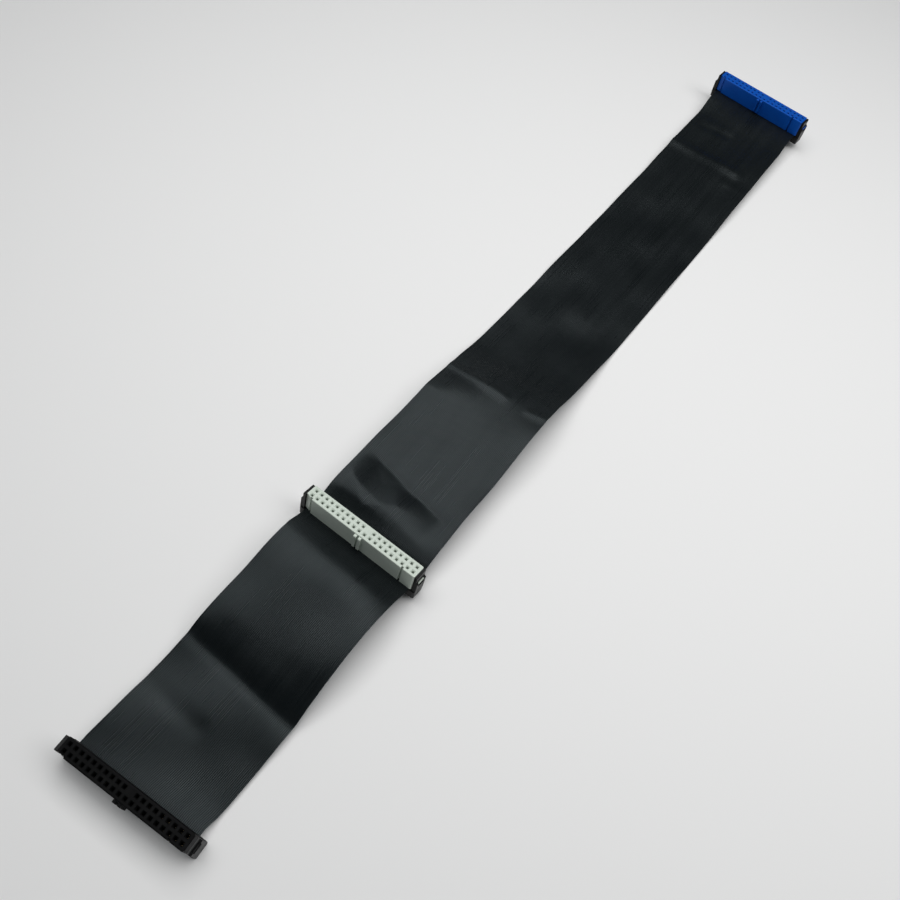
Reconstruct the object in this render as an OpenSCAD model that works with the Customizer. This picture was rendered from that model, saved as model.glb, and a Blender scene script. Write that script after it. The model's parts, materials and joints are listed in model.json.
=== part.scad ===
// Flat drive cable: a ribbon of fine bonded wires with three two-row sockets pressed on to it.
// X runs along the ribbon, Y across it and Z up. The cable lies on the plane Z = 0.
// Each socket is drawn about the middle of the ribbon that passes through it, with its face up.

/* [Length] */
// Distance from the black socket to the grey one
black_to_grey = 112; // [108:1:300]
// Distance from the grey socket to the blue one
grey_to_blue = 337; // [280:1:900]

/* [Pin holes] */
// Pin holes in one row of a socket
row_count = 20; // [8:2:26]
// Spacing of the pin holes, along a row and between the two rows
pitch = 2.54; // [2.4:0.02:2.8]
// Side of a square pin hole
pin_hole = 0.95; // [0.8:0.05:1.2]
// Side of the square funnel around a pin hole
lead_in = 1.6; // [1.3:0.1:1.8]
// Depth of the funnel
lead_in_depth = 0.35; // [0.2:0.05:0.6]

/* [Housing] */
// Width of a housing along the ribbon
housing_w = 6.1; // [5.9:0.1:8]
// Height of a housing from the ribbon to its face
housing_h = 8.6; // [7.6:0.1:12]
// Thickness of the face above the contacts
face_t = 1.2; // [0.8:0.1:2]
// Wall of a housing past each edge of the ribbon
end_wall = 0.6; // [0.4:0.1:1.5]
// Radius of a housing's upright corners
corner_r = 0.7; // [0.2:0.1:1.2]
// Radius of the long edges of the face
face_r = 0.4; // [0.1:0.05:0.8]
// Length of the set-back post at the left end of the front
post_l = 2.8; // [2:0.1:4]
// Set-back of the post beside its groove
post_back = 0.4; // [0.1:0.05:0.5]
// Further set-back of the post at the end of the housing
post_slope = 0.7; // [0.2:0.1:0.9]
// Length of the block at the right end of the front
block_l = 5.8; // [3:0.1:8]
// Width of the groove beside the post and beside the block
groove_w = 0.9; // [0.3:0.1:1]
// Depth of those grooves
groove_d = 0.9; // [0.5:0.05:0.95]

/* [Key] */
// Width of the key on the front
key_w = 3.2; // [2.4:0.1:5]
// How far the key stands out
key_out = 1.1; // [0.5:0.1:1.5]
// Height of the key
key_h = 6.8; // [2:0.1:7]
// Distance from the face down to the key
key_drop = 0.5; // [0.2:0.1:0.6]
// Bevel on the key's top
key_bevel = 0.3; // [0.1:0.05:0.45]
// Width of the slot between the two ribs of the key
key_slot_w = 0.9; // [0.4:0.1:1.6]

/* [Cover] */
// Thickness of the cover under the ribbon
cover_t = 3.7; // [2.8:0.1:5]
// Thickness of the arm at each end of the cover
arm_t = 1.9; // [1.5:0.05:2.4]
// Width of an arm along the ribbon
arm_w = 5.4; // [4.6:0.1:5.8]
// Distance from the face down to the tip of an arm
arm_drop = 0.3; // [0.2:0.1:2]
// Gap between an arm and the end of the housing
arm_clear = 0.1; // [0.05:0.05:0.25]
// Thickness of the thin bar at the tip of an arm
arm_tip_t = 1.1; // [0.6:0.05:1.3]
// Height of that bar
arm_bar_h = 3; // [2:0.1:3.2]
// Height of the slope from the bar out to an arm's full thickness
arm_slope = 0.8; // [0.4:0.1:1.5]
// Width of the slot in the cover under a row of contacts
tine_slot_w = 0.9; // [0.5:0.1:1.4]
// Depth of that slot
tine_slot_d = 1; // [0.4:0.1:2]

/* [Latch] */
// Width of the latch on each end of the housing
latch_w = 3.2; // [1.4:0.1:3.4]
// Height of the latch
latch_h = 2.2; // [1.2:0.1:2.4]
// How far the latch stands out
latch_out = 1.8; // [0.8:0.05:1.9]
// Height of the latch's flat outer land
latch_land = 0.8; // [0.4:0.1:1]
// Height of the latch's lower side above the ribbon
latch_z = 2.7; // [1:0.1:2.9]
// Gap around the latch in the arm's window
latch_clear = 0.15; // [0.1:0.05:0.3]

/* [Contacts] */
// Thickness of a contact
contact_t = 0.3; // [0.2:0.05:0.5]
// Width of a contact's fork
contact_w = 1.1; // [0.9:0.05:1.2]
// Width of one beam of the fork
beam_w = 0.26; // [0.2:0.02:0.36]
// Height of the fork's solid foot
foot_h = 1.8; // [1.2:0.1:2.6]
// Gap between the two grips of the fork
grip_gap = 0.3; // [0.1:0.05:0.4]
// Distance from the fork's tip down to its grips
grip_drop = 0.5; // [0.3:0.1:1]
// Length of the slope below a grip
grip_run = 0.8; // [0.4:0.1:1.5]
// Height of the notch in the foot over a wire
foot_notch = 0.9; // [0.4:0.1:1.1]
// Gap between a contact and the underside of the face
contact_top_gap = 1.6; // [0.4:0.1:2.4]
// Gap at each side of a contact
contact_clear = 0.12; // [0.05:0.01:0.2]
// Length of a contact's cavity along the row
cavity_l = 1.5; // [1.1:0.1:1.9]
// Thickness of the ground bar
bar_t = 0.25; // [0.15:0.05:0.4]
// Height of the ground bar
bar_h = 1.8; // [1.2:0.1:3]
// Depth of the notches between the ground bar's teeth
bar_notch = 0.6; // [0.3:0.1:0.9]
// Gap around the ground bar in its slot
bar_clear = 0.08; // [0.05:0.01:0.12]

/* [Ribbon] */
// Thickness of the ribbon over its ribs
ribbon_t = 0.69; // [0.5:0.01:0.9]
// Bevel along each edge of the ribbon
ribbon_bevel = 0.2; // [0.05:0.01:0.24]
// Gap between the ribbon and the socket pieces on each side of it
ribbon_clear = 0.05; // [0.03:0.01:0.1]
// Flat run of the ribbon past a socket
flat_run = 1; // [0.5:0.1:3]

/* [Hidden] */
$fn = 32;
cut = 0.01;
ring_step = 7;
wires_per_hole = 4;
wires = wires_per_hole * row_count;
wire_pitch = pitch / wires_per_hole;
ribbon_w = wires * wire_pitch;
seat = ribbon_t / 2 + ribbon_clear;
housing_l = ribbon_w + 2 * end_wall;
face_z = seat + housing_h;
cover_l = housing_l + 2 * (arm_clear + arm_t);
cavity_w = contact_w + 2 * contact_clear;
cavity_h = housing_h - face_t;
contact_h = cavity_h - contact_top_gap;
blocked_hole = row_count / 2 - 1;

// Where the sockets lie: x, rise of the ribbon above the floor, roll, yaw and tilt
lying_rise = cover_t + ribbon_clear;
black_x = -(black_to_grey + grey_to_blue) / 2;
grey_x = black_x + black_to_grey;
blue_x = grey_x + grey_to_blue;
black_place = [black_x, lying_rise, 0, 4.5, 0];
grey_place = [grey_x, 6.4, 0, 0, 11.5];
blue_place = [blue_x, 7.8, 0, -4.5, -2];

// Points that the ribbon follows beside a socket: distance from it, rise above the floor, roll and yaw
after_black = [[13, 2.1, 4.4, 3], [28, 1.9, 2.6, 1.5], [41, 2.5, 0.8, 0], [47, 2.8, 1, 0]];
before_grey = [
    [56, 6.3, -0.8, 0],
    [45, 9, -2.6, 0],
    [34, 10.6, -3.8, 0],
    [20, 12, -2.8, 0],
    [11, 10.6, -0.6, 0]
];
after_grey = [
    [9, 7.2, -1, 0],
    [17, 8.7, -0.8, 0],
    [32, 9.2, -2.2, 0],
    [54, 8.8, -3.4, 0],
    [75, 10.3, -5.8, 0],
    [86, 9.6, -6.8, 0],
    [94, 8.5, -7, 0],
    [106, 4.8, -7, 0],
    [124, 2, -4.2, 0],
    [148, 0, 0, 0]
];
before_blue = [[106, 0, 0, 0], [74, 2.2, -1.6, 0], [48, 3.6, -2, -1.5], [22, 4.4, -1.4, -3]];

// A knot of the ribbon is x, y and z of its middle, its roll and its yaw
reach = housing_w / 2 + flat_run;
function inside(place, run) = [
    place[0] + run * cos(place[4]) * cos(place[3]),
    run * cos(place[4]) * sin(place[3]),
    place[1] + ribbon_t / 2 - run * sin(place[4]),
    place[2], place[3]
];
function outside(place, side, points) = [
    for (p = points) [place[0] + side * p[0], 0, p[1] + ribbon_t / 2, p[2], p[3]]
];
function lead(place) = [1, tan(place[3]), -tan(place[4]) / cos(place[3]), 0, 0];

// Smooth stretch from one socket to the next: straight out of each, and level at each crest and trough
function knots(a, b, past_a, past_b) =
    concat([inside(a, reach)], outside(a, 1, past_a), outside(b, -1, past_b), [inside(b, -reach)]);
function gap(k, n) = k[n + 1][0] - k[n][0];
function slope(k, n) = (k[n + 1] - k[n]) / gap(k, n);
function level(a, b) = a * b <= 0 ? 0 : 2 * a * b / (a + b);
function tangent(k, n, a, b) =
    n == 0 ? lead(a) :
    n == len(k) - 1 ? lead(b) :
    [for (j = [0:len(k[n]) - 1]) level(slope(k, n - 1)[j], slope(k, n)[j])];
function between(k, n, t, a, b) =
    (2 * t ^ 3 - 3 * t ^ 2 + 1) * k[n] + (t ^ 3 - 2 * t ^ 2 + t) * gap(k, n) * tangent(k, n, a, b)
    + (3 * t ^ 2 - 2 * t ^ 3) * k[n + 1] + (t ^ 3 - t ^ 2) * gap(k, n) * tangent(k, n + 1, a, b);
function stretch(a, b, past_a, past_b) = let (k = knots(a, b, past_a, past_b)) [
    for (n = [0:len(k) - 2], steps = ceil(gap(k, n) / ring_step), i = [0:steps - 1])
        between(k, n, i / steps, a, b),
    k[len(k) - 1]
];
path = concat(
    [inside(black_place, -housing_w / 2)],
    stretch(black_place, grey_place, after_black, before_grey),
    stretch(grey_place, blue_place, after_grey, before_blue),
    [inside(blue_place, housing_w / 2)]
);
end = len(path) - 1;

// Section of the ribbon, flat with bevelled edges
flat_half = ribbon_w / 2 - ribbon_bevel;
edge_half = ribbon_t / 2 - ribbon_bevel;
top_side = [
    [-ribbon_w / 2, edge_half], [-flat_half, ribbon_t / 2],
    [flat_half, ribbon_t / 2], [ribbon_w / 2, edge_half]
];
section = concat(top_side, [for (i = [len(top_side) - 1:-1:0]) [top_side[i][0], -top_side[i][1]]]);
sides = len(section);

function middle(k) = [path[k][0], path[k][1], path[k][2]];
function unit(v) = v / norm(v);
function heading(k) = unit(middle(min(k + 1, end)) - middle(max(k - 1, 0)));
function across(roll, yaw) = [-sin(yaw) * cos(roll), cos(yaw) * cos(roll), sin(roll)];
function ring(k) = let (side = across(path[k][3], path[k][4]), up = unit(cross(heading(k), side)))
    [for (p = section) middle(k) + p[0] * side + p[1] * up];
function strip(k) = [
    for (i = [0:sides - 1])
        let (a = k * sides + i, b = k * sides + (i + 1) % sides)
            each [[a, b, b + sides], [a, b + sides, a + sides]]
];

// One solid swept along the path, ring by ring
module ribbon() {
    start_cap = [for (i = [sides - 1:-1:0]) i];
    end_cap = [for (i = [0:sides - 1]) end * sides + i];
    color("#2a3133")
        polyhedron(
            points = [for (k = [0:end]) each ring(k)],
            faces = concat([start_cap], [end_cap], [for (k = [0:end - 1]) each strip(k)])
        );
}

// Puts a socket's pieces on the ribbon at a place
module at(place) {
    translate([place[0], 0, place[1] + ribbon_t / 2])
        rotate([place[2], place[4], place[3]]) children();
}

function hole_x(row) = row * pitch / 2;
function hole_y(i) = (i - (row_count - 1) / 2) * pitch;

// Repeats its children at every pin hole; the blocked one is left out of the back row
module at_holes() {
    for (row = [-1, 1], i = [0:row_count - 1])
        if (row < 0 || i != blocked_hole)
            translate([hole_x(row), hole_y(i)]) children();
}

module rounded_plan(l, w, r) {
    square([w - 2 * r, l], center = true);
    square([w, l - 2 * r], center = true);
    for (x = [-1, 1], y = [-1, 1])
        translate([x * (w / 2 - r), y * (l / 2 - r)]) circle(r);
}

// Plan of the housing: a groove splits a sloped post off the left of its front, and a block off the right
module housing_plan() {
    front = -housing_w / 2;
    left = housing_l / 2;
    difference() {
        rounded_plan(housing_l, housing_w, corner_r);
        for (y = [left - post_l, block_l - left])
            translate([front, y]) square([2 * groove_d, groove_w], center = true);
        polygon([
            [front - cut, left - post_l], [front + post_back, left - post_l],
            [front + post_back + post_slope, left + cut], [front - cut, left + cut]
        ]);
    }
}

// End view of the housing, with the long edges of the face rounded
module housing_end() {
    hw = housing_w / 2;
    translate([-hw, 0]) square([housing_w, housing_h - face_r]);
    translate([face_r - hw, 0]) square([housing_w - 2 * face_r, housing_h]);
    for (x = [-1, 1])
        translate([x * (hw - face_r), housing_h - face_r]) circle(face_r);
}

// Two upright ribs on the middle of the front, with a slot between them and bevelled tops
module key() {
    rib_w = (key_w - key_slot_w) / 2;
    rib_z = housing_h - key_drop - key_h;
    for (y = [-key_slot_w / 2, key_w / 2])
        translate([-housing_w / 2, y, rib_z])
            rotate([90, 0, 0])
                linear_extrude(rib_w)
                    polygon([
                        [face_r, 0], [-key_out, 0], [-key_out, key_h - key_bevel],
                        [key_bevel - key_out, key_h], [face_r, key_h]
                    ]);
}

// Wedge on the end of the housing that holds the arm's window; its flat side faces the face
module latch() {
    translate([-latch_w / 2, housing_l / 2, latch_z])
        rotate([90, 0, 90])
            linear_extrude(latch_w)
                polygon([
                    [-end_wall / 2, 0], [0, 0], [latch_out, latch_h - latch_land],
                    [latch_out, latch_h], [-end_wall / 2, latch_h]
                ]);
}

// Sloped groove, as wide as a pin hole at its bottom
module funnel_groove(l) {
    rotate([90, 0, 0])
        linear_extrude(l, center = true)
            polygon([
                [-lead_in / 2, cut], [-lead_in / 2, 0], [-pin_hole / 2, -lead_in_depth],
                [pin_hole / 2, -lead_in_depth], [lead_in / 2, 0], [lead_in / 2, cut]
            ]);
}

// Square funnels: where the grooves along the rows cross those along the columns
module funnels() {
    intersection() {
        for (row = [-1, 1]) translate([hole_x(row), 0]) funnel_groove(ribbon_w);
        for (i = [0:row_count - 1]) translate([0, hole_y(i)]) rotate([0, 0, 90]) funnel_groove(2 * pitch);
        translate([0, 0, -lead_in_depth])
            linear_extrude(lead_in_depth + cut) at_holes() square(lead_in + cut, center = true);
    }
}

module socket_housing() {
    translate([0, 0, seat]) {
        difference() {
            intersection() {
                linear_extrude(housing_h) housing_plan();
                rotate([90, 0, 0]) linear_extrude(housing_l, center = true) housing_end();
            }
            translate([0, 0, -cut])
                linear_extrude(cavity_h + cut) at_holes() square([cavity_w, cavity_l], center = true);
            translate([0, 0, cavity_h - cut])
                linear_extrude(face_t + 2 * cut) at_holes() square(pin_hole, center = true);
            translate([0, 0, housing_h]) funnels();
            bar_slot();
        }
        key();
        latch();
        mirror([0, 1, 0]) latch();
    }
}

bar_l = ribbon_w - pitch / 2;
module bar_slot() {
    w = bar_t + 2 * bar_clear;
    l = bar_l + 2 * bar_clear;
    translate([-w / 2, -l / 2, -cut]) cube([w, l, bar_h + bar_clear + cut]);
}

// Base under the ribbon with an arm up each end of the housing
module socket_cover() {
    arm_tip = face_z - arm_drop;
    bar_z = arm_tip - arm_bar_h;
    half_l = cover_l / 2;
    inner = half_l - arm_t;
    difference() {
        union() {
            translate([0, 0, -seat - cover_t])
                linear_extrude(cover_t) rounded_plan(cover_l, housing_w, corner_r);
            for (y = [-1, 1])
                translate([-arm_w / 2, 0, 0])
                    rotate([90, 0, 90])
                        linear_extrude(arm_w)
                            polygon([
                                [y * inner, -seat - cover_t / 2],
                                [y * half_l, -seat - cover_t / 2],
                                [y * half_l, bar_z - arm_slope],
                                [y * (inner + arm_tip_t), bar_z],
                                [y * (inner + arm_tip_t), arm_tip],
                                [y * inner, arm_tip]
                            ]);
        }
        for (x = [-1, 1])
            translate([x * pitch / 2 - tine_slot_w / 2, -ribbon_w / 2, -seat - tine_slot_d])
                cube([tine_slot_w, ribbon_w, tine_slot_d + cut]);
        translate([-latch_w / 2 - latch_clear, -half_l - cut, seat + latch_z - latch_clear])
            cube([latch_w + 2 * latch_clear, cover_l + 2 * cut, latch_h + 2 * latch_clear]);
    }
}

// Fork that grips a pin, with a notched foot over the wires
module contact() {
    hw = contact_w / 2;
    gap = hw - beam_w;
    grip_z = contact_h - grip_drop;
    half = [
        [hw, 0], [hw, contact_h], [gap, contact_h],
        [grip_gap / 2, grip_z], [gap, grip_z - grip_run], [gap, foot_h]
    ];
    rotate([90, 0, 0])
        linear_extrude(contact_t, center = true)
            polygon(concat(
                [[0, foot_notch]],
                half,
                [for (i = [len(half) - 1:-1:0]) [-half[i][0], half[i][1]]]
            ));
}

module socket_contacts() {
    translate([0, 0, seat]) at_holes() contact();
}

// Comb between the two rows, with a tooth at every second wire
module ground_bar() {
    teeth = 2 * row_count - 1;
    tooth = bar_l / teeth;
    translate([-bar_t / 2, 0, seat])
        rotate([90, 0, 90])
            linear_extrude(bar_t)
                polygon(concat(
                    [[bar_l / 2, bar_h], [-bar_l / 2, bar_h]],
                    [for (i = [0:teeth - 1]) each [
                        [i * tooth - bar_l / 2, bar_notch],
                        [(i + 0.5) * tooth - bar_l / 2, 0]
                    ]],
                    [[bar_l / 2, bar_notch]]
                ));
}

module black_housing() { color("#26282a") at(black_place) socket_housing(); }
module black_cover() { color("#1d1e20") at(black_place) socket_cover(); }
module black_contacts() { color("#c8a452") at(black_place) socket_contacts(); }
module black_ground_bar() { color("#b98a4a") at(black_place) ground_bar(); }
module grey_housing() { color("#c8d0c6") at(grey_place) socket_housing(); }
module grey_cover() { color("#1d1e20") at(grey_place) socket_cover(); }
module grey_contacts() { color("#c8a452") at(grey_place) socket_contacts(); }
module grey_ground_bar() { color("#b98a4a") at(grey_place) ground_bar(); }
module blue_housing() { color("#2456b4") at(blue_place) socket_housing(); }
module blue_cover() { color("#1d1e20") at(blue_place) socket_cover(); }
module blue_contacts() { color("#c8a452") at(blue_place) socket_contacts(); }
module blue_ground_bar() { color("#b98a4a") at(blue_place) ground_bar(); }

ribbon();
black_housing();
black_cover();
black_contacts();
black_ground_bar();
grey_housing();
grey_cover();
grey_contacts();
grey_ground_bar();
blue_housing();
blue_cover();
blue_contacts();
blue_ground_bar();
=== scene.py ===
import json

import bmesh
import bpy
import numpy as np
from mathutils import Matrix


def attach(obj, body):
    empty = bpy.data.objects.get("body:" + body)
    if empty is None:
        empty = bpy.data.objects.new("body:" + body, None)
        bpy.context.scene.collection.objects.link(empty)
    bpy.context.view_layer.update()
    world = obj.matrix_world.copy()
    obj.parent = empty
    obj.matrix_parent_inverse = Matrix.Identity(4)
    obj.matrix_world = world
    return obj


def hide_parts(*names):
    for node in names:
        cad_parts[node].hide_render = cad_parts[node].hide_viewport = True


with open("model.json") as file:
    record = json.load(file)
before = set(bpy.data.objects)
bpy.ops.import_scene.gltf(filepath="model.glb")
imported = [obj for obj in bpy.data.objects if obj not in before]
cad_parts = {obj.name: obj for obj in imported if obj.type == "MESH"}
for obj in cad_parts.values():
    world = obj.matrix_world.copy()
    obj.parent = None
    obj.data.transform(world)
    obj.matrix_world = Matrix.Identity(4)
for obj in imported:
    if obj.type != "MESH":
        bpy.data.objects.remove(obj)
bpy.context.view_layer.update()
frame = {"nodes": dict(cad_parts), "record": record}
scene = bpy.context.scene
print("frame loaded:", len(frame["nodes"]), "CAD nodes")

# camera
cameraView = {
    "place": (-0.20776, -0.08373, 0.29598),  # metres, in the CAD frame
    "heading": 28.99,                        # degrees from +X towards +Y
    "dip": 59.46,                            # degrees below the horizon
    "roll": 9.70,                            # turn of the picture, degrees
    "lens": 33.22,                           # mm
    "picture": 36,                           # width of the square picture behind the lens, mm
    "nearest": 0.01,                         # nothing closer than this is drawn, metres
}


def lookFrom(view):
    # forward from heading and dip; right lies level, then right and down turn by the roll
    heading, dip, roll = np.radians([view["heading"], view["dip"], view["roll"]])
    forward = np.array([np.cos(dip) * np.cos(heading), np.cos(dip) * np.sin(heading), -np.sin(dip)])
    level = np.array([np.sin(heading), -np.cos(heading), 0.0])
    below = np.cross(forward, level)
    right = np.cos(roll) * level - np.sin(roll) * below
    down = np.sin(roll) * level + np.cos(roll) * below
    turned = np.eye(4)
    turned[:3, :3] = np.stack([right, -down, -forward], axis=1)
    turned[:3, 3] = view["place"]
    return Matrix(turned.tolist())


cameraData = bpy.data.cameras.new("photoCamera")
cameraData.sensor_width = cameraView["picture"]
cameraData.lens = cameraView["lens"]
cameraData.clip_start = cameraView["nearest"]
camera = bpy.data.objects.new("photoCamera", cameraData)
camera.matrix_world = lookFrom(cameraView)
scene.collection.objects.link(camera)
scene.camera = camera
print("camera placed")

# materials
noiseSpan = (0.3, 0.7)  # a noise mostly lies between these two values


def newFinish(name):
    # a material, its node tree, its shader and a node for its coordinates
    finish = bpy.data.materials.new(name)
    finish.use_nodes = True
    tree = finish.node_tree
    shader = tree.nodes["Principled BSDF"]
    coords = tree.nodes.new("ShaderNodeTexCoord")
    return finish, tree, shader, coords


def noiseOn(tree, coords, scale, detail, stretch=(1, 1, 1)):
    # noise on Object coordinates times the stretch: a factor below 1 draws it out along that axis
    mapping = tree.nodes.new("ShaderNodeMapping")
    mapping.inputs["Scale"].default_value = stretch
    tree.links.new(coords.outputs["Object"], mapping.inputs["Vector"])
    noise = tree.nodes.new("ShaderNodeTexNoise")
    noise.inputs["Scale"].default_value = scale
    noise.inputs["Detail"].default_value = detail
    tree.links.new(mapping.outputs["Vector"], noise.inputs["Vector"])
    return noise.outputs["Fac"]


def spread(tree, value, low, high):
    # maps a noise value from its span to low..high
    node = tree.nodes.new("ShaderNodeMapRange")
    ends = {"From Min": noiseSpan[0], "From Max": noiseSpan[1], "To Min": low, "To Max": high}
    for end, number in ends.items():
        node.inputs[end].default_value = number
    tree.links.new(value, node.inputs["Value"])
    return node.outputs["Result"]


def addMark(tree, markName, amount, base):
    # base + amount * an attribute of the mesh
    mark = tree.nodes.new("ShaderNodeAttribute")
    mark.attribute_name = markName
    total = tree.nodes.new("ShaderNodeMath")
    total.operation = "MULTIPLY_ADD"
    total.inputs[1].default_value = amount
    tree.links.new(mark.outputs["Fac"], total.inputs[0])
    tree.links.new(base, total.inputs[2])
    return total.outputs["Value"]


def colourBy(tree, shader, value, dark, light):
    # base colour: dark where the value is 0, light where it is 1
    node = tree.nodes.new("ShaderNodeMix")
    node.data_type = "RGBA"
    node.inputs["A"].default_value = (*dark, 1)
    node.inputs["B"].default_value = (*light, 1)
    tree.links.new(value, node.inputs["Factor"])
    tree.links.new(node.outputs["Result"], shader.inputs["Base Color"])


def roughen(tree, shader, value, strength, distance):
    # bump whose height is the value times the distance
    bump = tree.nodes.new("ShaderNodeBump")
    bump.inputs["Strength"].default_value = strength
    bump.inputs["Distance"].default_value = distance
    tree.links.new(value, bump.inputs["Height"])
    tree.links.new(bump.outputs["Normal"], shader.inputs["Normal"])


plasticFinishes = {
    "black_plastic": {
        "dark": (0.0022, 0.0023, 0.0025), "light": (0.0034, 0.0035, 0.0037),
        "rough": (0.46, 0.6), "gloss": 0.06,
    },
    "grey_plastic": {
        "dark": (0.53, 0.595, 0.525), "light": (0.61, 0.67, 0.6),
        "rough": (0.42, 0.56), "gloss": 0.4,
    },
    "blue_plastic": {
        "dark": (0.001, 0.058, 0.34), "light": (0.002, 0.088, 0.45),
        "rough": (0.4, 0.55), "gloss": 0.16,
    },
    "cover_plastic": {
        "dark": (0.004, 0.0042, 0.0045), "light": (0.006, 0.0062, 0.0066),
        "rough": (0.36, 0.48), "gloss": 0.22,
    },
}
# scale and detail of each noise, then strength and distance of the bump
plasticNoise = {"flow": (180, 4), "haze": (420, 2), "grain": (5200, 2), "bump": (0.25, 0.00002)}


def mouldedPlastic(name, look):
    # faint flow marks in colour and gloss, and a very fine moulded grain
    finish, tree, shader, coords = newFinish(name)
    flow = noiseOn(tree, coords, *plasticNoise["flow"])
    colourBy(tree, shader, flow, look["dark"], look["light"])
    haze = noiseOn(tree, coords, *plasticNoise["haze"])
    tree.links.new(spread(tree, haze, *look["rough"]), shader.inputs["Roughness"])
    shader.inputs["Specular IOR Level"].default_value = look["gloss"]
    grain = noiseOn(tree, coords, *plasticNoise["grain"])
    roughen(tree, shader, grain, *plasticNoise["bump"])
    return finish


metalFinishes = {
    "contact_metal": {"dark": (0.3, 0.22, 0.11), "light": (0.42, 0.33, 0.19), "rough": (0.3, 0.48)},
    "bar_metal": {"dark": (0.5, 0.33, 0.14), "light": (0.64, 0.45, 0.22), "rough": (0.3, 0.46)},
}
# scale, detail and stretch of each noise
metalNoise = {"tarnish": (300, 3), "lines": (2500, 2, (1, 1, 0.08))}


def stampedMetal(name, look):
    # tarnish in broad patches and rolling lines along the strip
    finish, tree, shader, coords = newFinish(name)
    shader.inputs["Metallic"].default_value = 1.0
    tarnish = noiseOn(tree, coords, *metalNoise["tarnish"])
    colourBy(tree, shader, tarnish, look["dark"], look["light"])
    lines = noiseOn(tree, coords, *metalNoise["lines"])
    tree.links.new(spread(tree, lines, *look["rough"]), shader.inputs["Roughness"])
    return finish


vinylLook = {
    "dark": (0.0016, 0.0026, 0.0031),
    "light": (0.0027, 0.004, 0.0046),
    "rough": (0.25, 0.33),
    "valleyRough": 0.35,     # added in the valleys between the wires
    "wireRough": 0.035,      # spread of gloss from wire to wire
    "gloss": 0.48,           # specular level
    # bluish tint on the gloss: painted reflection colour in place of the cool light that the far ribbon
    # reflects
    "paintedBlueReflection": (0.85, 0.965, 1.0),
    "cloud": (60, 4),        # scale, detail and stretch of each noise
    "haze": (110, 3, (0.4, 1, 1)),
    "grain": (900, 3, (0.25, 1, 1)),
    "bump": (0.12, 0.0001),  # strength and distance
}


def ribbonVinyl():
    # satin jacket with faint cloudy wear, a haze drawn out along the wires, and dull between the wires;
    # its gloss is tinted bluish, a painted reflection of cool light
    finish, tree, shader, coords = newFinish("ribbonVinyl")
    cloud = noiseOn(tree, coords, *vinylLook["cloud"])
    colourBy(tree, shader, cloud, vinylLook["dark"], vinylLook["light"])
    haze = noiseOn(tree, coords, *vinylLook["haze"])
    rough = spread(tree, haze, *vinylLook["rough"])
    rough = addMark(tree, "valley", vinylLook["valleyRough"], rough)
    rough = addMark(tree, "wireTone", vinylLook["wireRough"], rough)
    tree.links.new(rough, shader.inputs["Roughness"])
    shader.inputs["Specular IOR Level"].default_value = vinylLook["gloss"]
    # tints the gloss bluish: painted reflection colour
    shader.inputs["Specular Tint"].default_value = (*vinylLook["paintedBlueReflection"], 1)
    grain = noiseOn(tree, coords, *vinylLook["grain"])
    roughen(tree, shader, grain, *vinylLook["bump"])
    return finish


cutEndLook = {
    "vinyl": (0.004, 0.005, 0.0055),
    "copper": (0.62, 0.27, 0.14),
    "copperRadius": 0.2,     # of a wire pitch
    "rough": (0.35, 0.6),
    "haze": (3000, 2),       # scale and detail of the noise
}


def ribbonCutEnd():
    # a copper dot in the middle of each wire: where the distance from the wire's centre is below
    # the copper's radius
    finish, tree, shader, coords = newFinish("ribbonCutEnd")
    wireCentre = (0.5, 0.5, 0)
    across = tree.nodes.new("ShaderNodeAttribute")
    across.attribute_name = "acrossWires"
    inWire, fromCentre, distance = (tree.nodes.new("ShaderNodeVectorMath") for step in range(3))
    inWire.operation = "FRACTION"
    fromCentre.operation = "SUBTRACT"
    fromCentre.inputs[1].default_value = wireCentre
    distance.operation = "LENGTH"
    tree.links.new(across.outputs["Vector"], inWire.inputs[0])
    tree.links.new(inWire.outputs["Vector"], fromCentre.inputs[0])
    tree.links.new(fromCentre.outputs["Vector"], distance.inputs[0])
    copper = tree.nodes.new("ShaderNodeMath")
    copper.operation = "LESS_THAN"
    copper.inputs[1].default_value = cutEndLook["copperRadius"]
    tree.links.new(distance.outputs["Value"], copper.inputs[0])
    dot = copper.outputs["Value"]
    colourBy(tree, shader, dot, cutEndLook["vinyl"], cutEndLook["copper"])
    tree.links.new(dot, shader.inputs["Metallic"])
    haze = noiseOn(tree, coords, *cutEndLook["haze"])
    tree.links.new(spread(tree, haze, *cutEndLook["rough"]), shader.inputs["Roughness"])
    return finish


print("finishes ready")

# ribbon
ribbonSize = {
    "wires": 80,
    "wirePitch": 0.000635,
    "thick": 0.00069,
    "ribDepth": 0.00022,     # valley below the crest of a wire
    "pointsPerRib": 3,
    "ringGap": 0.0045,       # step between two rings where the ribbon is smooth
    "ringSteps": 4000,       # steps in which the rings are counted out
    "socketHalf": 0.00305,
    "flatRun": 0.001,        # straight run on each side of a socket
    "calmRun": 0.0055,       # from a socket's middle, with no creases
    "easeRun": 0.0085,       # after that, over which they come in
    "sharpValley": 0.9,      # depth, from 0 to 1, past which a valley's edge is sharp
    "toneSeed": 7,           # for the wires' own tones
}

# x, rise above the floor, yaw and tilt of each socket
socketPlaces = {
    "black": (-0.2245, 0.00375, 4.5, 0),
    "grey": (-0.1125, 0.0064, 0, 11.5),
    "blue": (0.2245, 0.0078, -4.5, -2),
}

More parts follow.
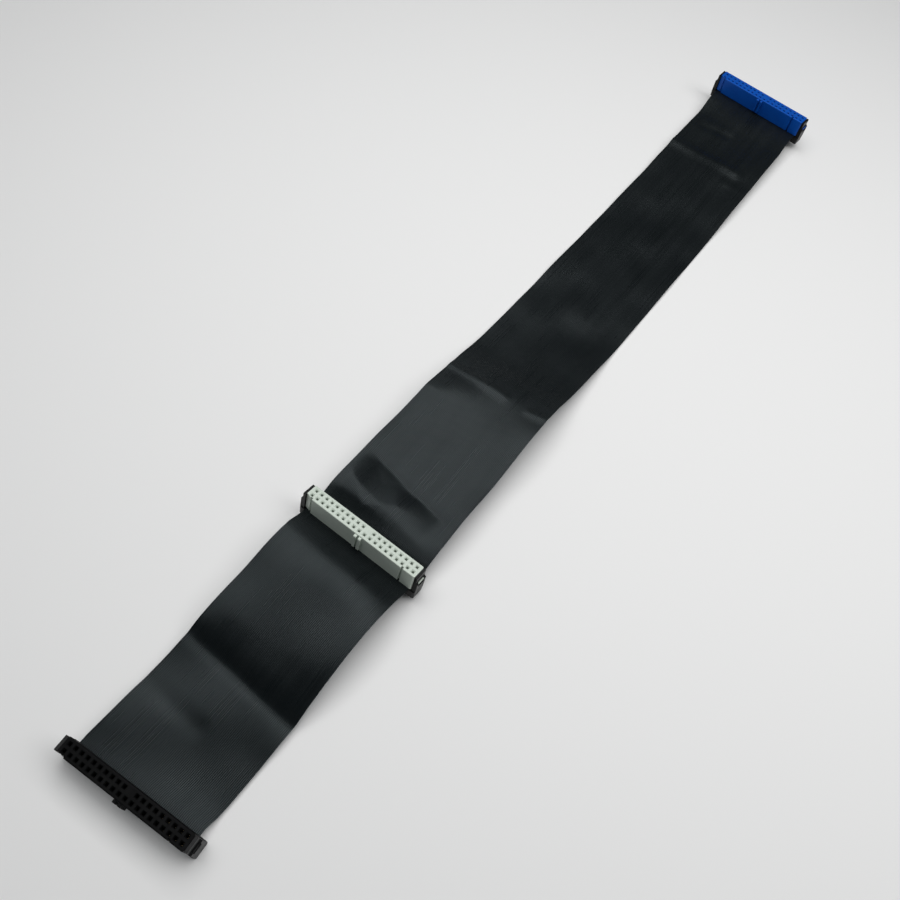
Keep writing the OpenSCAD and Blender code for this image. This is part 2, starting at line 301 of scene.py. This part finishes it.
# distance from the socket, rise above the floor, roll and yaw
afterBlack = [
    (0.013, 0.0021, 4.4, 3), (0.028, 0.0019, 2.6, 1.5), (0.041, 0.0025, 0.8, 0), (0.047, 0.0028, 1, 0),
]
beforeGrey = [
    (0.056, 0.0063, -0.8, 0), (0.045, 0.009, -2.6, 0), (0.034, 0.0106, -3.8, 0),
    (0.02, 0.012, -2.8, 0), (0.011, 0.0106, -0.6, 0),
]
afterGrey = [
    (0.009, 0.0065, -1, 0), (0.017, 0.0079, -0.8, 0), (0.032, 0.0092, -2.2, 0), (0.054, 0.0088, -3.4, 0),
    (0.075, 0.0103, -5.8, 0), (0.086, 0.0096, -6.8, 0), (0.094, 0.0085, -7, 0), (0.106, 0.0048, -7, 0),
    (0.124, 0.002, -4.2, 0), (0.148, 0, 0, 0),
]
beforeBlue = [
    (0.106, 0, 0, 0), (0.074, 0.0022, -1.6, 0), (0.048, 0.0036, -2, -1.5), (0.022, 0.0044, -1.4, -3),
]


def insideSocket(place, run):
    # knot on the straight run through a socket: x, y, z, roll, yaw
    x, rise, yaw, tilt = place
    yawTurn, tiltTurn = np.radians([yaw, tilt])
    return [
        x + run * np.cos(tiltTurn) * np.cos(yawTurn),
        run * np.cos(tiltTurn) * np.sin(yawTurn),
        rise + ribbonSize["thick"] / 2 - run * np.sin(tiltTurn),
        0.0, yaw,
    ]


def besideSocket(place, side, points):
    # knots of the loose ribbon on one side of a socket: x, y, z, roll, yaw
    lift = ribbonSize["thick"] / 2
    return [[place[0] + side * away, 0.0, rise + lift, roll, yaw] for away, rise, roll, yaw in points]


def leadOut(place):
    # slopes of a socket's straight run against x: y by the yaw, z by the tilt, roll and yaw level
    yawTurn, tiltTurn = np.radians(place[2:])
    return [1.0, np.tan(yawTurn), -np.tan(tiltTurn) / np.cos(yawTurn), 0.0, 0.0]


def routeKnots():
    # all knots in order of x; the straight runs inside the sockets keep their own slopes
    half = ribbonSize["socketHalf"]
    reach = half + ribbonSize["flatRun"]
    black, grey, blue = (socketPlaces[name] for name in ("black", "grey", "blue"))
    knots = np.array(
        [insideSocket(black, -half), insideSocket(black, reach)]
        + besideSocket(black, 1, afterBlack) + besideSocket(grey, -1, beforeGrey)
        + [insideSocket(grey, -reach), insideSocket(grey, reach)]
        + besideSocket(grey, 1, afterGrey) + besideSocket(blue, -1, beforeBlue)
        + [insideSocket(blue, -reach), insideSocket(blue, half)]
    )
    greyAt = 2 + len(afterBlack) + len(beforeGrey)
    slopes = np.diff(knots, axis=0) / np.diff(knots[:, 0])[:, None]
    product = slopes[:-1] * slopes[1:]
    total = np.where(product > 0, slopes[:-1] + slopes[1:], 1)
    tangents = np.zeros_like(knots)
    tangents[1:-1] = np.where(product > 0, 2 * product / total, 0)
    tangents[:2] = leadOut(black)
    tangents[greyAt:greyAt + 2] = leadOut(grey)
    tangents[-2:] = leadOut(blue)
    return knots, tangents


def routeAt(x, knots, tangents):
    # cubic Hermite curve against x: harmonic mean slopes, so it is level at each crest and trough
    n = np.clip(np.searchsorted(knots[:, 0], x, side="right") - 1, 0, len(knots) - 2)
    gap = (knots[n + 1, 0] - knots[n, 0])[:, None]
    t = (x[:, None] - knots[n, :1]) / gap
    return (
        (2 * t**3 - 3 * t**2 + 1) * knots[n] + (t**3 - 2 * t**2 + t) * gap * tangents[n]
        + (3 * t**2 - 2 * t**3) * knots[n + 1] + (t**3 - t**2) * gap * tangents[n + 1]
    )


# creases, in mm: points of a fold line from +Y to -Y, height (a trough is negative), widths before
# and after it along X, and how far from the ribbon's edges it fades
creases = [
    ([(-90, 24), (-95.5, 16.2), (-100.5, 9.4), (-93, -1)], 1.3, 24, 8, 5),
    ([(-79, 25), (-82, 10), (-84.2, 0), (-84.8, -8.4), (-88, -25)], -3.2, 13, 34, 9),
    ([(-24.5, 24), (-26, -4)], 0.7, 3.2, 3.2, 0),
    ([(-26.5, -17), (-25.5, -26)], 0.6, 3, 3, 0),
    ([(-41, 24), (-41, 19)], 0.6, 6, 6, 0),
    ([(-175, 26), (-177.5, -26)], -0.7, 4, 4, 0),
    ([(-196, 26), (-197, 0)], -0.5, 5, 5, 0),
    ([(175, 26), (173, -14)], 1.1, 5.5, 5.5, 0),
    ([(163, -14), (164, -26)], 0.5, 5, 5, 0),
    ([(195.5, 18), (197, 3)], -0.6, 4, 4, 0),
]
foldShape = {
    "round": 0.35,           # roundness of a fold's ridge, mm
    "sag": 0.3,              # share by which a fold's flanks hang below a straight tent's
    "leastAway": 0.001,      # mm, so that nothing is divided by 0
    "leastFade": 0.01,       # mm, likewise
}
# slow waves: length along x and y in mm, height in mm, and phase
slowWaves = [(33, 70, 0.2, 0.4), (21, -45, 0.08, 1.9), (58, 38, 0.34, 3.1)]
# start and end of each creased stretch, and the step between rings there
creasedZones = [
    (-0.204, -0.16, 0.0016), (-0.108, -0.07, 0.0008), (-0.05, -0.018, 0.0012), (0.16, 0.204, 0.0014),
]
mmPerMetre = 1000


def awayFrom(x, y, a, b):
    # distance of each point from the straight stretch between a and b, and how far along X
    # it lies after it
    run = np.subtract(b, a)
    t = np.clip(((x - a[0]) * run[0] + (y - a[1]) * run[1]) / (run @ run), 0, 1)
    ahead = x - a[0] - t * run[0]
    return np.hypot(ahead, y - a[1] - t * run[1]), ahead


def creaseHeight(x, y):
    # a sagging tent over each fold line, rounded at its ridge: height * (1 - distance / width),
    # never below nothing; the width goes from one side's to the other's with the cosine of the
    # way to the line
    x, y = x * mmPerMetre, y * mmPerMetre
    lift = np.zeros_like(x)
    halfWidth = ribbonSize["wires"] * ribbonSize["wirePitch"] * mmPerMetre / 2
    fromEdge = halfWidth - np.abs(y)
    for line, height, widthBefore, widthAfter, fade in creases:
        stretches = [awayFrom(x, y, a, b) for a, b in zip(line[:-1], line[1:])]
        away, ahead = map(np.array, zip(*stretches))
        nearest = np.argmin(away, axis=0)[None]
        away = np.take_along_axis(away, nearest, axis=0)[0]
        ahead = np.take_along_axis(ahead, nearest, axis=0)[0]
        cosine = ahead / np.maximum(away, foldShape["leastAway"])
        width = widthBefore + (widthAfter - widthBefore) * (1 + cosine) / 2
        tent = np.clip(1 - np.hypot(away, foldShape["round"]) / width, 0, None)
        sagging = tent * (1 - foldShape["sag"] * (1 - tent))
        lift += height * sagging * np.clip(fromEdge / max(fade, foldShape["leastFade"]), 0, 1)
    for alongX, alongY, height, phase in slowWaves:
        lift += height * (1 + np.sin(2 * np.pi * (x / alongX + y / alongY) + phase))
    return lift / mmPerMetre


def clearOfSockets(x):
    # smooth step: 0 over the calm run from a socket's middle, 1 from the end of the ease run
    away = np.min([np.abs(x - place[0]) for place in socketPlaces.values()], axis=0)
    t = np.clip((away - ribbonSize["calmRun"]) / ribbonSize["easeRun"], 0, 1)
    return t * t * (3 - 2 * t)


def ringPlaces(start, stop):
    # x of each ring, closer together in the creased zones
    x = np.linspace(start, stop, ribbonSize["ringSteps"])
    gap = np.full_like(x, ribbonSize["ringGap"])
    for zoneStart, zoneStop, zoneGap in creasedZones:
        gap = np.where((x > zoneStart) & (x < zoneStop), zoneGap, gap)
    density = 1 / gap
    count = np.concatenate([[0], np.cumsum((density[1:] + density[:-1]) / 2 * np.diff(x))])
    return np.interp(np.linspace(0, count[-1], int(np.ceil(count[-1])) + 1), count, x)


def ribbedSection():
    # outline across the ribbon: an ellipse over each wire on both faces, closing to a round edge;
    # the second value is how far down a valley each point is, from 0 to 1
    size = ribbonSize
    nudge = 1e-9  # keeps a point in a valley from rounding to either side
    half = size["wires"] * size["wirePitch"] / 2
    u = np.linspace(-half, half, size["wires"] * size["pointsPerRib"] + 1)
    offCrest = 2 * np.mod(u / size["wirePitch"] + nudge, 1) - 1
    depth = 1 - np.sqrt(np.clip(1 - offCrest**2, 0, 1))
    height = size["thick"] / 2 - size["ribDepth"] * depth
    edge = np.clip((np.abs(u) - half) / (size["wirePitch"] / 2) + 1, 0, 1)
    crest = np.where(edge > 0, size["thick"] / 2, height)
    height = crest * np.sqrt(1 - edge**2)
    top = np.stack([u, height], axis=1)
    under = np.stack([u[-2:0:-1], -height[-2:0:-1]], axis=1)
    return np.vstack([top, under]), np.concatenate([depth, depth[-2:0:-1]])


def sweepRibbon(path, section):
    # each ring lies across the path: point = middle + u * side + (h + crease) * up
    middle = path[:, :3]
    heading = np.gradient(middle, path[:, 0], axis=0)
    heading /= np.linalg.norm(heading, axis=1, keepdims=True)
    roll, yaw = np.radians(path[:, 3]), np.radians(path[:, 4])
    side = np.stack([-np.sin(yaw) * np.cos(roll), np.cos(yaw) * np.cos(roll), np.sin(roll)], axis=1)
    up = np.cross(heading, side)
    up /= np.linalg.norm(up, axis=1, keepdims=True)
    level = middle[:, None] + section[None, :, :1] * side[:, None]
    lift = creaseHeight(level[..., 0], level[..., 1]) * clearOfSockets(path[:, 0])[:, None]
    return level + (section[None, :, 1] + lift)[..., None] * up[:, None]


def skinFaces(ringCount, around):
    # a four-sided face between two neighbours on a ring and the same two on the next ring
    corner = np.arange(ringCount - 1)[:, None] * around
    here = np.arange(around)
    beside = np.roll(here, -1)
    faces = [corner + here, corner + beside, corner + around + beside, corner + around + here]
    return np.stack(faces, axis=2).reshape(-1, 4).tolist()


def cutEndFaces(ringCount, around):
    # strips between the ribbon's two faces at both cut ends, and a triangle at each edge;
    # the far end has the same faces turned round
    topCount = around // 2 + 1
    topRow = np.arange(1, topCount - 1)
    underRow = around - topRow
    strips = np.stack([topRow[:-1], underRow[:-1], underRow[1:], topRow[1:]], axis=1)
    tips = np.array([[0, around - 1, 1], [topCount - 2, topCount, topCount - 1]])
    lastRing = (ringCount - 1) * around
    farStrips, farTips = strips[:, ::-1] + lastRing, tips[:, ::-1] + lastRing
    return strips.tolist() + farStrips.tolist() + tips.tolist() + farTips.tolist()


knots, tangents = routeKnots()
ribbonPath = routeAt(ringPlaces(knots[0, 0], knots[-1, 0]), knots, tangents)
section, valleyDepth = ribbedSection()
rings = sweepRibbon(ribbonPath, section)
ringCount, around = rings.shape[:2]
skin = skinFaces(ringCount, around)
ribbonMesh = bpy.data.meshes.new("ribbed_ribbon")
ribbonMesh.from_pydata(rings.reshape(-1, 3).tolist(), [], skin + cutEndFaces(ringCount, around))
ribbonMesh.update()
ribbonMesh.shade_smooth()


def markMesh(name, kind, domain, field, values):
    # writes one value for each point or edge of the ribbon
    ribbonMesh.attributes.new(name, kind, domain).data.foreach_set(field, values)


# marks for the finish: depth in a valley, each wire's own tone, and the place across the wires
wires, pitch = ribbonSize["wires"], ribbonSize["wirePitch"]
valleyMark = np.tile(valleyDepth, ringCount)
markMesh("valley", "FLOAT", "POINT", "value", valleyMark)
wireTones = np.random.default_rng(ribbonSize["toneSeed"]).uniform(-1, 1, wires)
wireHere = np.clip((section[:, 0] / pitch + wires / 2).astype(int), 0, wires - 1)
markMesh("wireTone", "FLOAT", "POINT", "value", np.tile(wireTones[wireHere], ringCount))
acrossWires = np.zeros((around, 3))
acrossWires[:, :2] = section / pitch + [wires / 2, 0.5]
markMesh("acrossWires", "FLOAT_VECTOR", "POINT", "vector", np.tile(acrossWires, (ringCount, 1)).ravel())

# sharp edges along each valley
edgeEnds = np.empty(len(ribbonMesh.edges) * 2, dtype=np.int32)
ribbonMesh.edges.foreach_get("vertices", edgeEnds)
edgeEnds = edgeEnds.reshape(-1, 2)
inValley = valleyMark[edgeEnds].min(axis=1) > ribbonSize["sharpValley"]
alongWires = edgeEnds[:, 0] % around == edgeEnds[:, 1] % around
markMesh("sharp_edge", "BOOLEAN", "EDGE", "value", inValley & alongWires)
ribbonPiece = bpy.data.objects.new("ribbed_ribbon", ribbonMesh)
scene.collection.objects.link(ribbonPiece)
ribbonMesh.materials.append(ribbonVinyl())
ribbonMesh.materials.append(ribbonCutEnd())
isCutEnd = np.arange(len(ribbonMesh.polygons)) >= len(skin)
ribbonMesh.polygons.foreach_set("material_index", isCutEnd.astype(np.int32))
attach(ribbonPiece, "root")
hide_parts("ribbon")

# sockets
nodeFinishes = {name: mouldedPlastic(name, look) for name, look in plasticFinishes.items()}
nodeFinishes.update({name: stampedMetal(name, look) for name, look in metalFinishes.items()})
mouldedEdges = {"housing": 0.00014, "cover": 0.00022}  # how far a moulded edge is rounded
mouldedShape = {
    "roundSteps": 2,
    "sharpOver": 35,         # degrees between two faces, past which their edge is rounded
    "flatWithin": 1,         # degrees between two triangles that belong to one flat face
    "mergeWithin": 0.000001,
}


def roundedCopy(node, pieceName, edgeSize):
    # the part's own shape with its triangles joined and each sharp edge rounded
    mesh = node.data.copy()
    mesh.name = pieceName
    shell = bmesh.new()
    shell.from_mesh(mesh)
    bmesh.ops.remove_doubles(shell, verts=shell.verts, dist=mouldedShape["mergeWithin"])
    flat = np.radians(mouldedShape["flatWithin"])
    bmesh.ops.dissolve_limit(shell, angle_limit=flat, verts=shell.verts, edges=shell.edges)
    shell.to_mesh(mesh)
    shell.free()
    if "custom_normal" in mesh.attributes:
        mesh.attributes.remove(mesh.attributes["custom_normal"])
    mesh.shade_smooth()
    piece = bpy.data.objects.new(pieceName, mesh)
    scene.collection.objects.link(piece)
    rounding = piece.modifiers.new("roundedEdges", "BEVEL")
    rounding.width = edgeSize
    rounding.segments = mouldedShape["roundSteps"]
    rounding.limit_method = "ANGLE"
    rounding.angle_limit = np.radians(mouldedShape["sharpOver"])
    rounding.harden_normals = True
    return piece


for part in frame["record"]["subparts"]:
    if part["node"] == "ribbon":
        continue
    piece = frame["nodes"][part["node"]]
    kind = part["node"].split("_", 1)[1]
    if kind in mouldedEdges:
        piece = roundedCopy(piece, "moulded_" + part["node"], mouldedEdges[kind])
        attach(piece, "root")
        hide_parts(part["node"])
    piece.data.materials.clear()
    piece.data.materials.append(nodeFinishes[part["material_slot"]])

# floor and light
studio = {
    "floorHalf": 3.0,
    "floorColour": (0.815, 0.812, 0.807),
    "floorRough": 0.7,
    "worldColour": (0.86, 0.97, 1.04),
    "worldStrength": 0.06,
    "lamps": {
        # place, what it faces, power, width and depth
        "keyPanel": ((0.17, -0.19, 0.62), (0.17, -0.19, 0.0), 4.85, 0.44, 1.2),
        "fillPanel": ((-0.185, 0.14, 0.62), (-0.185, 0.14, 0.0), 1.45, 0.29, 0.62),
    },
}


def flatFloor(half):
    # one square face at z = 0
    mesh = bpy.data.meshes.new("floor")
    corners = [[-half, -half, 0], [half, -half, 0], [half, half, 0], [-half, half, 0]]
    mesh.from_pydata(corners, [], [[0, 1, 2, 3]])
    floor = bpy.data.objects.new("floor", mesh)
    scene.collection.objects.link(floor)
    finish, _, shader, _ = newFinish("paleFloor")
    shader.inputs["Base Color"].default_value = (*studio["floorColour"], 1)
    shader.inputs["Roughness"].default_value = studio["floorRough"]
    mesh.materials.append(finish)
    return floor


def softLamp(name, place, target, power, width, depth):
    # a plain soft panel that faces its target, with its width along X as nearly as that lets it
    data = bpy.data.lights.new(name, "AREA")
    data.shape = "RECTANGLE"
    data.size = width
    data.size_y = depth
    data.energy = power
    lamp = bpy.data.objects.new(name, data)
    forward = np.array(target) - np.array(place)
    forward /= np.linalg.norm(forward)
    side = np.array([1.0, 0, 0]) - forward[0] * forward
    side /= np.linalg.norm(side)
    turned = np.eye(4)
    turned[:3, :3] = np.stack([side, np.cross(side, forward), -forward], axis=1)
    turned[:3, 3] = place
    lamp.matrix_world = Matrix(turned.tolist())
    scene.collection.objects.link(lamp)


flatFloor(studio["floorHalf"])
for lampName, facts in studio["lamps"].items():
    softLamp(lampName, *facts)
world = bpy.data.worlds.new("studioWorld")
world.use_nodes = True
background = world.node_tree.nodes["Background"]
background.inputs["Color"].default_value = (*studio["worldColour"], 1)
background.inputs["Strength"].default_value = studio["worldStrength"]
scene.world = world
scene.view_settings.view_transform = "Standard"
print("floor and lamps set")
